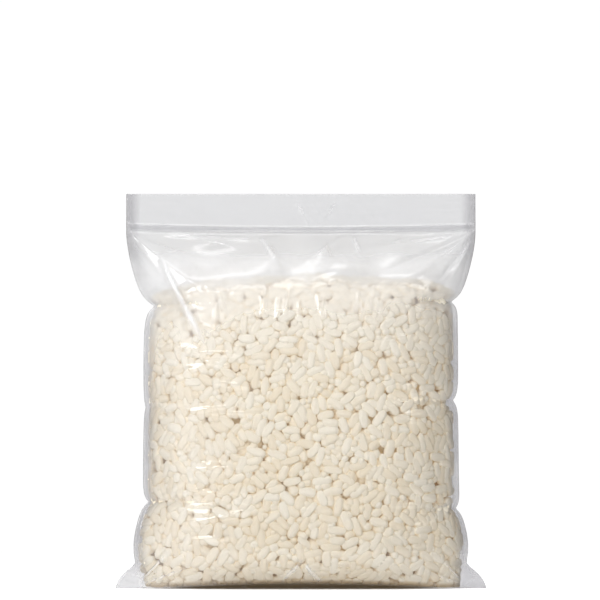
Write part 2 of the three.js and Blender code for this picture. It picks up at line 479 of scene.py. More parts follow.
def packGrains():
    # Overlapping balls push each other apart, walls push them in, and a pull that dies away
    # presses every grain outwards, so that the shell settles tight against the film.
    rng = np.random.default_rng(grain["seed"])
    centre, axis, bias = scatterGrains(rng)
    count = len(centre)
    length = rng.uniform(*grain["length"], count)
    broken = rng.random(count) < grain["brokenShare"]
    length = np.where(broken, length * rng.uniform(*grain["brokenLength"], count), length)
    girth = rng.normal(1, 0.05, count).clip(0.88, 1.12)
    endRadius = grain["endRadius"] * girth
    radius = np.stack([endRadius, grain["midRadius"] * girth, endRadius], 1)
    radius[broken] = radius[broken, 1:2] * 0.94
    arm = length / 2 - radius[:, 0]
    along = np.stack([-arm, np.zeros(count), arm], 1)
    owner = np.repeat(np.arange(count), 3)
    ball = radius.ravel()
    reach = 2 * ball.max() + 0.5
    for step in range(grain["steps"]):
        ease = 1 - step / grain["steps"]
        balls = centre[:, None] + axis[:, None] * along[..., None]
        flat = balls.reshape(-1, 3)
        if step % packing["pairEvery"] == 0:
            first, second = nearbyPairs(flat, owner, reach)
        between = flat[first] - flat[second]
        apart = np.maximum(np.sqrt((between**2).sum(1)), 1e-6)
        overlap = np.maximum(ball[first] + ball[second] - apart, 0)
        push = between * (overlap / apart * packing["push"])[:, None]
        move = np.stack(
            [
                np.bincount(first, push[:, k], len(ball)) - np.bincount(second, push[:, k], len(ball))
                for k in range(3)
            ],
            1,
        )
        gap, inward = wallGap(flat)
        move += inward * np.maximum(ball - grain["squeeze"] - gap, 0)[:, None]
        move[:, 2] += np.maximum(ball + form["wall"] - flat[:, 2], 0)
        tooHigh = np.maximum(ball + flat[:, 2] - heapTop(flat[:, 0], flat[:, 1]), 0)
        move[:, 2] -= packing["topPush"] * tooHigh
        move = move.reshape(count, 3, 3)
        gap, inward = nearestGap(centre)
        sunk = np.maximum(gap - grain["shellDepth"], 0)
        pull = packing["pull"] * ease + packing["returnPull"] * sunk
        centre = centre + move.mean(1) * packing["haste"] - inward * pull[:, None]
        lean = (axis * inward).sum(1, keepdims=True)
        settle = np.where(gap < packing["settleDepth"], packing["settle"] * bias, 0.0)[:, None]
        turned = (move[:, 2] - move[:, 0]) * packing["swing"]
        swing = turned / np.maximum(2 * arm, packing["leastArm"])[:, None]
        axis = unit(axis + swing + settle * lean * inward)
    print("packed", count, "grains, mean overlap", round(float(overlap.mean()), 3), "mm")
    return {"centre": centre, "axis": axis, "length": length, "girth": girth, "broken": broken, "rng": rng}


def grainPoints(grains, ringCount, sideCount):
    # A grain is drawn along its axis: the radius is the root of 1 less |s| to the grain's own
    # power, at s from -1 to 1. It is wider than thick, its middle line is bent to one side and
    # the germ end is cut off slantwise. Rings are spaced by the sine; the two poles come first.
    count = len(grains["centre"])
    s = np.sin(np.linspace(-1, 1, ringCount + 2)[1:-1] * np.pi / 2 * 0.93)
    turn = np.arange(sideCount) * 2 * np.pi / sideCount
    s = np.concatenate([[-1.0, 1.0], np.repeat(s, sideCount)])
    turn = np.concatenate([[0.0, 0.0], np.tile(turn, ringCount)])
    plump = grains["plump"][:, None]
    profile = np.sqrt(np.maximum(1 - np.abs(s) ** plump, 0))
    profile = profile * (1 + grains["taper"][:, None] * s)
    wide = profile * np.cos(turn)
    germ = smooth((s - 0.25) / 0.75) * (0.5 + 0.5 * np.cos(turn))
    wide = wide * (1 - 0.45 * grains["germ"][:, None] * germ)
    deep = profile * np.sin(turn)
    half = grains["length"][:, None] / 2
    reach = s * half * (1 - 0.08 * grains["germ"][:, None] * germ)
    bend = grains["bend"][:, None] * (s**2 - 0.35)
    width = grain["width"] / 2 * grains["girth"][:, None]
    thick = grain["thickness"] / 2 * grains["girth"][:, None]
    return (
        grains["centre"][:, None]
        + grains["axis"][:, None] * reach[..., None]
        + grains["across"][:, None] * (wide * width + bend)[..., None]
        + grains["through"][:, None] * (deep * thick)[..., None]
    ).reshape(count, -1, 3)


def pressedIn(points):
    # What would stand out of the bag is pushed back flat behind the film, the welds and the table.
    gap, inward = wallGap(points)
    points = points + inward * np.maximum(grain["filmClearance"] - gap, 0)[..., None]
    x, y, z = points[..., 0], points[..., 1], np.maximum(points[..., 2], form["wall"] + 0.05)
    half = bodyHalf(z, np.where(x < 0, -1, 1)) - grain["filmClearance"]
    x = np.clip(x, -half, half)
    deep = plainDepth(x, z) - grain["filmClearance"]
    return np.stack([x, np.clip(y, -deep, deep), z], -1)


def dressGrains(grains):
    # Each grain turns its flat side to the nearest wall, give or take, and gets its own shape.
    rng = grains["rng"]
    count = len(grains["centre"])
    gap, inward = nearestGap(grains["centre"])
    across = unit(np.cross(grains["axis"], inward) + 1e-4)
    through = np.cross(grains["axis"], across)
    roll = rng.normal(0, 0.6, count)[:, None]
    grains["across"] = across * np.cos(roll) + through * np.sin(roll)
    grains["through"] = np.cross(grains["axis"], grains["across"])
    grains["gap"] = gap
    grains["plump"] = rng.uniform(3.0, 4.4, count)
    grains["taper"] = rng.normal(0, 0.05, count)
    grains["germ"] = rng.uniform(0.2, 1.0, count)
    grains["bend"] = rng.normal(0, 0.16, count)
    grains["tone"] = rng.random(count)
    chalky = rng.random(count) < grain["chalkyShare"]
    grains["kind"] = np.where(grains["broken"], 3, np.where(chalky, 2, 0))
    long = grains["length"] > np.mean(grain["length"])
    grains["kind"] = np.where((grains["kind"] == 0) & long, 1, grains["kind"])


grains = packGrains()
dressGrains(grains)


riceLook = {
    "cream": (0.90, 0.80, 0.63, 1),
    "pearl": (0.93, 0.87, 0.75, 1),
    "chalk": (0.94, 0.89, 0.78, 1),
    "gapPaintedShade": (0.44, 0.32, 0.16, 1),  # what light is left deep between the grains
    "gapFrom": 1.0,
    "gapTo": 3.6,
    "shadeHeight": 2.9,  # the painted shadow under the foot begins here
    "shadeOver": 2.4,
    # painted glow: a faint warm emission on every grain, standing in for light passing through the rice
    "glow": (1.0, 0.79, 0.50, 1),
    "paintedGlowStrength": 0.07,
    "roughness": 0.55,
    "specular": 0.3,
    "mottle": (420, 4),  # scale and detail of the noise that mottles each grain
    "mottleShare": 1.3,
    "toneRange": (0.5, 1.6),
    "fine": (2600, 2),
    "bump": (0.25, 0.0001),
    "topPaintedLight": 1.0,  # painted light: the rice is painted whiter towards the top, from this height and over this one
    "whiteFrom": 76,
    "whiteOver": 20,
}
# each kind of grain runs from one colour to another
kinds = {
    "grains_plump": ("cream", "pearl"),
    "grains_long": ("cream", "pearl"),
    "grains_chalky": ("pearl", "chalk"),
    "grains_broken": ("cream", "chalk"),
}


def riceMaterial(name, dark, light):
    # Colour runs from dark to light by grain, mottled by fine noise, and is painted brown with depth:
    # painted shade deep between the grains and low under the foot.
    # A faint warm painted glow stands in for the light that rice lets through from grain to grain.
    material, tree = newMaterial(name)
    mottle = noiseNode(tree, *riceLook["mottle"])
    tone = mathNode(tree, "MULTIPLY_ADD", mottle, riceLook["mottleShare"], attributeNode(tree, "tone"))
    colour = mixColour(tree, mapRange(tree, tone, *riceLook["toneRange"]), dark, light)
    # painted shade: deeper grains, and those low under the foot, are multiplied towards the shade brown
    deep = mapRange(tree, attributeNode(tree, "depth"), riceLook["gapFrom"], riceLook["gapTo"])
    # the emission below is a painted glow, no lamp
    shader = addNode(
        tree,
        "ShaderNodeBsdfPrincipled",
        Base_Color=mixColour(tree, deep, colour, riceLook["gapPaintedShade"], "MULTIPLY"),
        Roughness=riceLook["roughness"],
        Specular_IOR_Level=riceLook["specular"],
        Emission_Color=riceLook["glow"],
        Emission_Strength=riceLook["paintedGlowStrength"],
        Normal=bumpNode(tree, noiseNode(tree, *riceLook["fine"]), *riceLook["bump"]),
    )
    addNode(tree, "ShaderNodeOutputMaterial", Surface=shader.outputs[0])
    return material


def makeGrains():
    rings, sides = grain["mesh"]
    quads, triangles = ringFaces(2 + np.arange(rings * sides).reshape(rings, sides), 0, 1)
    points = pressedIn(grainPoints(grains, *grain["mesh"]))
    # painted shade: the depth attribute, the distance in from the film, browns grains deep between others,
    # and is raised to full painted shadow low under the foot
    depth, _ = nearestGap(points)
    shade = smooth((riceLook["shadeHeight"] - points[..., 2]) / riceLook["shadeOver"])
    depth = np.maximum(depth, riceLook["gapTo"] * shade)
    size = points.shape[1]
    # painted light: grains are lightened towards the top of the heap, where the light from above falls
    upward = smooth((grains["centre"][:, 2] - riceLook["whiteFrom"]) / riceLook["whiteOver"])
    tone = grains["tone"] + riceLook["topPaintedLight"] * upward
    for kind, (name, (dark, light)) in enumerate(kinds.items()):
        chosen = np.flatnonzero(grains["kind"] == kind)
        material = riceMaterial(name.replace("grains", "rice"), riceLook[dark], riceLook[light])
        start = (np.arange(len(chosen)) * size)[:, None, None]
        faces = [(quads + start).reshape(-1, 4), (triangles + start).reshape(-1, 3)]
        attributes = {"tone": np.repeat(tone[chosen], size), "depth": depth[chosen]}
        piece = makePiece(name, points[chosen].reshape(-1, 3), faces, material, attributes)
        each = 2 * len(quads) + len(triangles)
        print(name, len(chosen), "grains", len(chosen) * each, "triangles")


makeGrains()


core = {
    "inset": 5.0,
    "topInset": 3,  # and this much more under the heap's top
    "sideInset": 2,
    "columns": 150,
    "rows": 110,
    "relief": 0.02,  # share of the radius
    "smoothings": 3,
    "cornerPower": 0.75,
    "seed": 5,
    # painted shade: the core is coloured as rice deep in shadow; it shows only between grains
    "dark": (0.36, 0.26, 0.13, 1),
    "light": (0.56, 0.44, 0.26, 1),
    "mottle": (350, 3),
    "roughness": 0.7,
    # painted glow: the core emits warm light though it is no lamp
    "glow": (1.0, 0.73, 0.37, 1),
    "paintedGlowStrength": 0.25,
}


def coreMaterial():
    # The core is painted a shaded brown for rice deep in shadow, and glows warm, a painted light for what
    # soaks through the real grains and comes back from inside.
    material, tree = newMaterial("rice_core")
    shader = addNode(
        tree,
        "ShaderNodeBsdfPrincipled",
        Base_Color=mixColour(tree, noiseNode(tree, *core["mottle"]), core["dark"], core["light"]),
        Roughness=core["roughness"],
        Emission_Color=core["glow"],
        Emission_Strength=core["paintedGlowStrength"],
    )
    addNode(tree, "ShaderNodeOutputMaterial", Surface=shader.outputs[0])
    return material


def makeCore():
    # The same form drawn in by the inset: at each height a superellipse of the body's half
    # width and half depth, from just above the table to just under the heap, with relief the
    # size of grains, made of random numbers smoothed over a few cells.
    columns, rows = core["columns"], core["rows"]
    rise = np.linspace(0, 1, rows)[:, None]
    turn = np.linspace(0, 2 * np.pi, columns, endpoint=False)[None]
    floor, top = core["inset"], heap["crown"] - core["inset"] - core["topInset"]
    z = floor + (top - floor) * (0.5 - 0.5 * np.cos(np.pi * rise)) + 0 * turn
    closing = np.sin(np.pi * (0.012 + 0.976 * rise)) ** 0.16
    side = np.where(np.cos(turn) < 0, -1, 1)
    halfX = (bodyHalf(z, side) - core["inset"] - core["sideInset"]) * closing
    halfY = (plainDepth(0 * z, z) - core["inset"]) * closing
    c, s = np.cos(turn), np.sin(turn)
    x = halfX * np.sign(c) * np.abs(c) ** core["cornerPower"]
    y = halfY * np.sign(s) * np.abs(s) ** core["cornerPower"]
    noise = np.random.default_rng(core["seed"]).normal(size=z.shape)
    for _ in range(core["smoothings"]):
        noise = (noise + np.roll(noise, 1, 1) + np.roll(noise, -1, 1)) / 3
        noise = (noise + np.roll(noise, 1, 0) + np.roll(noise, -1, 0)) / 3
    relief = 1 + core["relief"] * noise / noise.std()
    points = np.stack([x * relief, y * relief, z], -1).reshape(-1, 3)
    ends = np.array([[0, 0, floor - 0.5], [0, 0, top + 0.5]])
    ring = np.arange(rows * columns).reshape(rows, columns)
    quads, caps = ringFaces(ring, rows * columns, rows * columns + 1)
    piece = makePiece("rice_core", np.concatenate([points, ends]), [quads, caps], coreMaterial())
    print("core", 2 * len(quads) + len(caps), "triangles")


makeCore()


film = {
    "columns": 210,  # across each wall
    "footRows": 8,  # under the bag, from the fold to the edge of the foot
    "curveRows": 14,
    "bodyRows": 172,
    "bandRows": 36,
    "sink": 0.55,  # how far the film sinks into the gaps between grains
    "deepest": 1.3,
    "tautLift": 0.45,  # where a crease lifts the film this much, it no longer sinks at all
    "whiteLift": 1.6,  # and where it lifts this much, it carries the full painted highlight
    "ripple": 0.35,
    "weldShade": 4.0,  # the film darkens over this width beside a weld
    "bandBow": 1.0,  # the lower edge of the band hangs this much lower in the middle
    "fadeIn": 2.5,  # creases grow from nothing as the walls part by this, and below the band
    "slackFrom": 96,  # above the rice the film ripples
    "slackOver": 14,
    "restDepth": 12,  # where the top of the rice meets the wall
    "restUp": 4,
    "restOver": 6,
    "wrinkleTaut": 0.35,
    # painted highlight along stretched folds and kinks in the band
    "foldHighlight": 2.2,
    "kinkHighlight": 0.6,
    "kinkLift": 0.4,
    "earPaintedLight": (0.5, 0.1),  # painted light: how much of a weld's shade the left and right ear lose, the left, towards the lights, more
    "cornerReach": 0.12,
    "sample": (15, 20),  # rings and points around each grain when the film feels for it
    "feelDepth": 4.2,
    "seed": 3,
}
ribs = [(123.95, 1.2, 0.55), (130.8, 0.5, 0.04), (133.1, 0.5, 0.04)]  # height, half height, proud

# creases: wall (-1 front, 1 back), from, to, how far proud (less than 0 sinks in), and how wide
# it is below and above the line at its far end
creases = [
    # the long taut crease down from the upper left
    (-1, (-48.5, 113), (-30.5, 79), 1.9, 6.0, 4.2),
    # along under the zip at the left
    (-1, (-59, 122.6), (-2, 119.0), 0.6, 3.0, 1.4),
    (-1, (-36, 120.6), (-20, 116.5), 0.5, 3.0, 2.4),
    # soft patches in the middle of the head
    (-1, (-14, 121), (-6, 108), 0.8, 5.0, 4.0),
    (-1, (15, 121.5), (-3, 108.5), 0.5, 6.0, 3.5),
    (-1, (18, 121.5), (21, 113), 0.9, 4.5, 2.2),
    (-1, (38, 121.0), (29, 117.5), 0.4, 2.4, 2.0),
    # the fan from the front right corner
    (-1, (59.5, 122.6), (26, 117.6), 0.5, 3.4, 1.6),
    (-1, (59.5, 122.2), (24, 106), -0.9, 5.5, 4.0),
    (-1, (59.5, 121.8), (33, 104), 0.5, 5.0, 4.0),
    (-1, (59.3, 121.0), (45.5, 103), -0.8, 2.6, 3.0),
    (-1, (59.3, 120.4), (50, 103), 0.6, 2.6, 2.2),
    (-1, (59.2, 119.6), (54, 101), -0.6, 1.8, 2.0),
    # the tuck in the foot, and the folds that run up out of its corners
    (-1, (0.6, 9.5), (-7, 0.2), 1.7, 1.4, 3.2),
    (-1, (0.6, 9.5), (7.5, 0.2), 1.7, 3.2, 1.4),
    (-1, (-56, 1.5), (-43, 14), 1.3, 2.0, 2.0),
    (-1, (-56, 1.0), (-36, 7.5), 1.2, 1.8, 1.8),
    (-1, (56, 1.5), (46, 12), 0.8, 2.4, 2.4),
    (-1, (56, 1.0), (40, 6.5), 0.7, 2.0, 2.0),
    # the back
    (1, (59.5, 121.4), (33, 76), -1.5, 5.0, 7.0),
    (1, (-59.5, 122.0), (-40, 92), -0.9, 4.0, 4.5),
    (1, (-59.5, 122.4), (-20, 109), 0.5, 5.0, 3.5),
    (1, (-59.5, 121.4), (-50, 100), 0.6, 2.6, 2.4),
    (1, (59.5, 122.4), (12, 117), 0.5, 3.4, 1.8),
    (1, (8, 121.5), (15, 104), 0.8, 5.0, 4.5),
    (1, (-12, 121.5), (-4, 108), 0.6, 4.5, 4.0),
    (1, (1.0, 9.0), (7, 1.0), 0.5, 2.5, 1.2),
]

# kinks pressed across the band, in the same terms
kinks = [
    (-1, (-2.5, 135), (4.0, 124), 0.4, 2.2, 1.6),
    (-1, (3.5, 134.6), (9.0, 125), 0.25, 1.6, 2.0),
    (1, (13.0, 135), (7.0, 125), 0.35, 2.0, 2.0),
]

# soft swells in the head: wall, middle across and up, half width and half height, how proud
swells = [
    (-1, -10, 113.5, 5.5, 6.5, 2.0),
    (-1, 5, 117, 3.0, 4.0, 0.8),
    (-1, 14.5, 112.0, 8.5, 7.5, 2.8),
    (-1, 33, 115, 5.0, 4.0, 0.7),
    (-1, -31, 118.5, 6.5, 2.6, 0.8),
    (1, 11, 114, 5.5, 5.5, 1.8),
    (1, -13, 114.5, 5.0, 5.0, 1.6),
    (1, -31, 116.5, 5.5, 3.5, 1.0),
    (1, 32, 116, 5.0, 4.0, 1.0),
]


def swellLift(x, z, wall):
    # Each swell is a bell curve across and up.
    lift = 0 * x
    for swellWall, middleX, middleZ, halfX, halfZ, proud in swells:
        if swellWall == wall:
            lift = lift + proud * np.exp(-(((x - middleX) / halfX) ** 2) - ((z - middleZ) / halfZ) ** 2)
    return lift


def creaseLift(x, z, creaseList, wall):
    # A sharp line whose two flanks fall away as a square, to nothing at their own widths. The
    # widths grow from the first end, and the lift follows a half sine along the line.
    lift = 0 * x
    for creaseWall, start, end, proud, below, above in creaseList:
        if creaseWall != wall:
            continue
        ax, az = start
        dx, dz = end[0] - ax, end[1] - az
        length = np.hypot(dx, dz)
        along = np.clip(((x - ax) * dx + (z - az) * dz) / length**2, 0, 1)
        off = ((z - az) * abs(dx) - (x - ax) * dz * np.sign(dx)) / length
        growth = 0.25 + 0.75 * along
        flank = np.where(off < 0, 1 + off / (below * growth), 1 - off / (above * growth))
        lift = lift + proud * np.sin(np.pi * along**0.8) * np.maximum(flank, 0) ** 2
    return lift


# loose strokes pressed into the film: wall, how many, the box they start in, turn from level in
# degrees, length, how proud, and how wide
strokes = [
    (-1, 18, (-52, 8, -30, 96), (-14, 14), (10, 22), (0.45, 0.9), (1.3, 2.6)),
    (-1, 16, (-40, 98, 28, 104), (-105, -75), (9, 18), (0.5, 0.95), (2.0, 3.4)),
    (-1, 6, (24, 8, 46, 96), (-12, 12), (7, 12), (0.25, 0.5), (1.2, 2.2)),
    (1, 18, (-50, 8, 34, 96), (-14, 14), (9, 20), (0.35, 0.7), (1.4, 2.8)),
    (1, 12, (-40, 99, 34, 104), (-105, -75), (9, 17), (0.5, 0.9), (1.8, 3.2)),
]


fans = {
    "least": 3,  # creases at a pinch, and how many more for each millimetre it goes in
    "more": 1.5,
    "slant": 0.35,
    "length": (9, 17),
    "longer": 3,
    "inset": 2,
    "spread": 1.2,
    "width": (0.9, 2.2),
    "proud": (0.2, 0.5),
}


def wrinkleList():
    # Short sharp creases that fan inwards from every pinch in the welds, both walls, and the
    # loose strokes at random places in their boxes.
    rng = np.random.default_rng(film["seed"])
    found = []
    for wall, count, box, turns, lengths, heights, widths in strokes:
        for _ in range(count):
            start = (rng.uniform(box[0], box[2]), rng.uniform(box[1], box[3]))
            turn = radians(rng.uniform(*turns))
            length = rng.uniform(*lengths)
            end = (start[0] + length * np.cos(turn), start[1] + length * np.sin(turn))
            width = rng.uniform(*widths)
            found.append((wall, start, end, rng.uniform(*heights), width, width * 0.8))
    for side, height, inward, reach in pinches:
        for wall in (-1, 1):
            for _ in range(fans["least"] + int(fans["more"] * inward)):
                slant = rng.normal(0, fans["slant"])
                shortest, longest = fans["length"]
                length = rng.uniform(shortest, longest + fans["longer"] * inward)
                edge = side * (form["bellyHalf"] - inward - fans["inset"])
                start = (edge, height + rng.normal(0, fans["spread"]))
                end = (edge - side * length * np.cos(slant), start[1] + length * np.sin(slant))
                width = rng.uniform(*fans["width"])
                found.append((wall, start, end, rng.uniform(*fans["proud"]), width, width))
    return found


def filmRows():
    # Heights of the rows, and how far out each has come from the fold under the bag: under the
    # foot only the share grows, then rows follow the foot's arc by equal angles, then rise evenly.
    share = np.linspace(0, 1, film["footRows"] + 1)[:-1]
    angle = np.linspace(0, np.pi / 2, film["curveRows"] + 1)[:-1]
    curve = form["footRadius"] * (1 - np.cos(angle))
    body = np.linspace(form["footRadius"], form["zipBottom"] - 0.6, film["bodyRows"] + 1)[:-1]
    band = np.linspace(form["zipBottom"] - 0.6, form["height"], film["bandRows"] + 1)
    z = np.concatenate([0 * share, curve, body, band])
    return z, np.concatenate([share, np.ones(len(z) - len(share))])


def acrossPlaces():
    # From -1 to 1, closer together towards the two welds.
    t = np.linspace(-1, 1, film["columns"] + 1)
    return 0.55 * t + 0.45 * np.sin(t * np.pi / 2)


def blurred(values, times):
    # Each cell takes a quarter of each neighbour and half of itself, along both directions.
    for _ in range(times):
        wide = np.pad(values, ((1, 1), (0, 0)), "edge")
        values = wide[:-2] / 4 + wide[1:-1] / 2 + wide[2:] / 4
        wide = np.pad(values, ((0, 0), (1, 1)), "edge")
        values = wide[:, :-2] / 4 + wide[:, 1:-1] / 2 + wide[:, 2:] / 4
    return values


def grainGaps(rowZ, places, wall):
    # How far behind the plain wall the nearest rice lies, at each film point: points all over
    # the grains are dropped into the film's cells, which keep the least gap.
    close = grains["gap"] < film["feelDepth"]
    chosen = {key: values[close] for key, values in grains.items() if key != "rng"}
    points = pressedIn(grainPoints(chosen, *film["sample"]).reshape(-1, 3))
    points = points[(points[:, 1] * wall > 0) & (points[:, 2] > 1.5)]
    gap, _ = wallGap(points)
    side = np.where(points[:, 0] < 0, -1, 1)
    across = points[:, 0] / outlineHalf(points[:, 2], side)
    column = np.round(np.interp(across, places, np.arange(len(places)))).astype(int)
    row = np.round(np.interp(points[:, 2], rowZ, np.arange(len(rowZ)))).astype(int)
    cells = np.full((len(rowZ), len(places)), film["deepest"])
    np.minimum.at(cells, (row, column), np.clip(gap, 0, film["deepest"]))
    wide = np.pad(cells, 1, "edge")
    beside = [wide[:-2, 1:-1], wide[2:, 1:-1], wide[1:-1, :-2], wide[1:-1, 2:]]
    return np.minimum(cells, np.minimum.reduce([cells] + beside) + film["cornerReach"])


def filmWall(wall, rowZ, rowShare, places, wrinkles):
    # One wall: plain depth, plus creases and slack waves, less the sinking between grains, plus ribs. Also
    # how much of each point is band, side weld, film hanging clear of the rice, and film painted whiter:
    # rice dust with a painted sheen, and a painted highlight along stretched folds and kinks.
    z = rowZ[:, None] + 0 * places[None]
    side = np.where(places < 0, -1, 1)[None] + 0 * z
    x = places[None] * outlineHalf(z, side)
    plain = plainDepth(x, z)
    inside = np.clip((plain - form["wall"]) / film["fadeIn"], 0, 1)
    bandLow = form["zipBottom"] - film["bandBow"] * (1 - places[None] ** 2) + film["bandBow"] / 2
    headroom = smooth((bandLow - z) / film["fadeIn"])
    gap = blurred(grainGaps(rowZ, places, wall), 1)
    riceTop = heapTop(x, film["restDepth"] + 0 * x) + film["restUp"]
    overRice = smooth((riceTop - z) / film["restOver"])
    folds = creaseLift(x, z, creases, wall)
    wrinkled = creaseLift(x, z, wrinkles, wall)
    kinked = creaseLift(x, z, kinks, wall)
    taut = 1 - smooth((folds + film["wrinkleTaut"] * wrinkled) / film["tautLift"])
    sink = film["sink"] * gap * smooth(inside * 1.2) * smooth(z / 3) * overRice * taut
    slack = smooth((z - film["slackFrom"]) / film["slackOver"])
    ripple = np.sin(x / 5.3 + 1.3 * np.sin(z / 9 + wall)) * np.sin(z / 11 + x / 23 + wall)
    loose = folds + wrinkled + swellLift(x, z, wall) + film["ripple"] * ripple * slack
    loose = np.maximum(loose, 0) + np.minimum(loose, 0) * (1 - overRice)
    depth = plain + loose * smooth(inside * 1.5) * headroom - sink + kinked
    for height, half, proud in ribs:
        bowed = z - height + form["zipBottom"] - bandLow
        depth = depth + proud * smooth((half - np.abs(bowed)) / (0.45 * half) + 0.5)
    edge = np.abs(places)[None] >= 1
    depth = np.where(edge, 0, np.maximum(depth, form["wall"])) * rowShare[:, None]
    # painted highlight: the film turns white along stretched folds and band kinks
    foldHighlight = film["foldHighlight"] * smooth(folds / film["whiteLift"]) * headroom
    kinkHighlight = film["kinkHighlight"] * smooth(kinked / film["kinkLift"])
    fromWeld = np.abs(x) - bodyHalf(z, side) + film["weldShade"]
    # painted light: the ears near the table lose some of the weld's dark tint, the left more than the
    # right
    earPaintedLight = np.where(side < 0, *film["earPaintedLight"]) * (1 - smooth((z - 2) / 8))
    attributes = {
        "band": smooth((z - bandLow + 1.0) / 1.2),
        "weld": smooth(fromWeld / (film["weldShade"] + 0.8)) * (1 - earPaintedLight),
        "clearOf": smooth((blurred(gap, 6) / film["deepest"] - 0.55) / 0.4),
        "dustAndSheen": np.maximum(dustAndSheenOn(x, z) * headroom, foldHighlight + kinkHighlight),
    }
    return np.stack([x, wall * depth, z], -1), attributes


# rice dust together with a painted sheen: a whitish veil on the film about the top of the rice and to the
# left, where it catches the light
dustAndSheen = {
    "belts": [(0.55, 87, 14), (0.3, 64, 26)],  # how much, above this height, over this height
    "left": (0.36, 8, 34),  # how much, left of this, over this width
    "top": (109, 9),
}


def dustAndSheenOn(x, z):
    # Rice dust on the film together with a painted sheen where the film catches the light: a belt about
    # the top of the rice, fading down over the upper rice, and some more towards the left.
    amount, start, over = dustAndSheen["left"]
    total = amount * smooth((-x - start) / over)
    for amount, start, over in dustAndSheen["belts"]:
        total = total + amount * smooth((z - start) / over)
    end, over = dustAndSheen["top"]
    return np.minimum(total, 1) * (1 - smooth((z - end) / over))


def wallQuads(index):
    # index holds point numbers, one row a height, running rightwards as seen from outside
    return np.stack([index[:-1, :-1], index[:-1, 1:], index[1:, 1:], index[1:, :-1]], -1)


def makeFilm(material):
    rowZ, rowShare = filmRows()
    places = acrossPlaces()
    wrinkles = wrinkleList()
    front, frontValues = filmWall(-1, rowZ, rowShare, places, wrinkles)
    back, backValues = filmWall(1, rowZ, rowShare, places, wrinkles)
    rows, columns = len(rowZ), len(places)
    # The back uses the weld points that the front already has, and in the lowest row both walls
    # share the fold.
    points = np.concatenate([front.reshape(-1, 3), back.reshape(-1, 3)])
    ahead = np.arange(rows * columns).reshape(rows, columns)
    behind = ahead + rows * columns
    behind[:, 0] = ahead[:, 0]
    behind[:, -1] = ahead[:, -1]
    behind[0] = ahead[0]
    top, topBack = ahead[-1], behind[-1]
    lip = np.stack([top[:-1], top[1:], topBack[1:], topBack[:-1]], -1)[1:-1]
    ends = np.array([[top[0], top[1], topBack[1]], [top[-2], top[-1], topBack[-2]]])
    walls = [wallQuads(ahead).reshape(-1, 4), wallQuads(behind[:, ::-1]).reshape(-1, 4)]
    faces = np.concatenate(walls + [lip])
    used = np.unique(np.concatenate([faces.ravel(), ends.ravel()]))
    renumber = np.zeros(len(points), int)
    renumber[used] = np.arange(len(used))
    attributes = {}
    for key in frontValues:
        both = np.concatenate([frontValues[key].ravel(), backValues[key].ravel()])
        attributes[key] = both[used]
    piece = makePiece("film", points[used], [renumber[faces], renumber[ends]], material, attributes)
    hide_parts("bag")
    print("film", len(faces) * 2 + 2, "triangles")


filmLook = {
    "clear": (0.935, 0.935, 0.935, 1),  # where it lies on the rice
    "hanging": (0.862, 0.862, 0.867, 1),  # where it hangs clear
    "band": (0.885, 0.885, 0.892, 1),
    "weld": (0.64, 0.635, 0.65, 1),  # two walls melted together
    "edge": (0.50, 0.50, 0.505, 1),  # seen edge-on
    "milk": (0.95, 0.95, 0.96, 1),
    "mirror": 0.07,
    "haze": 0.04,
    "slackHaze": 0.10,  # added where it hangs clear
    "dustAndSheenHaze": 0.36,  # and where rice dust and a painted sheen whiten it, about the top of the rice and to the left
    "weldHaze": 0.08,  # and towards the welds
    "edgePower": 2,
    "smear": (60, 4),  # scale and detail of the noise that makes haze and gloss uneven
    "smearRange": (0.3, 0.75, 0.75, 1.3),
    "roughness": (0.084, 0.224),
    "fine": (240, 3),
    "bump": (0.3, 0.0002),
}


def filmMaterial(name, look):
    # Clear film: light passes with a slight tint that deepens where the film is seen edge-on,
    # a little of it is scattered, and a share mirrors, by Schlick's rule from the facing angle.
    material, tree = newMaterial(name)
    facing = addNode(tree, "ShaderNodeLayerWeight", Blend=0.5).outputs["Facing"]
    smear = noiseNode(tree, *look["smear"])
    clearOf = attributeNode(tree, "clearOf")
    weld = attributeNode(tree, "weld")
    tint = mixColour(tree, clearOf, look["clear"], look["hanging"])
    tint = mixColour(tree, attributeNode(tree, "band"), tint, look["band"])
    tint = mixColour(tree, weld, tint, look["weld"])
    tint = mixColour(tree, mathNode(tree, "POWER", facing, look["edgePower"]), tint, look["edge"])
    haze = mathNode(tree, "MULTIPLY_ADD", clearOf, look["slackHaze"], look["haze"])
    haze = mathNode(tree, "MULTIPLY_ADD", weld, look["weldHaze"], haze)
    # rice dust, painted sheen and painted fold highlights make the film milkier
    haze = mathNode(tree, "MULTIPLY_ADD", attributeNode(tree, "dustAndSheen"), look["dustAndSheenHaze"], haze)
    haze = mathNode(tree, "MULTIPLY", haze, mapRange(tree, smear, *look["smearRange"]))
    passed = addNode(tree, "ShaderNodeBsdfTransparent", Color=tint)
    milk = addNode(tree, "ShaderNodeBsdfDiffuse", Color=look["milk"])
    schlick = mathNode(tree, "POWER", facing, 5)
    schlick = mathNode(tree, "MULTIPLY_ADD", schlick, 1 - look["mirror"], look["mirror"])
    gloss = addNode(
        tree,
        "ShaderNodeBsdfGlossy",
        Color=(1, 1, 1, 1),
        Roughness=mapRange(tree, smear, 0, 1, *look["roughness"]),
        Normal=bumpNode(tree, noiseNode(tree, *look["fine"]), *look["bump"]),
    )
    whole = mixShader(tree, schlick, mixShader(tree, haze, passed, milk), gloss)
    addNode(tree, "ShaderNodeOutputMaterial", Surface=whole.outputs[0])
    return material


makeFilm(filmMaterial("film_clear", filmLook))


track = {
    "halfLength": 59.2,
    "middle": 123.95,
    "halfHeight": 1.15,
    "halfDepth": 0.62,
    "stations": 120,
    "sides": 16,
    "endSlope": 60,
}


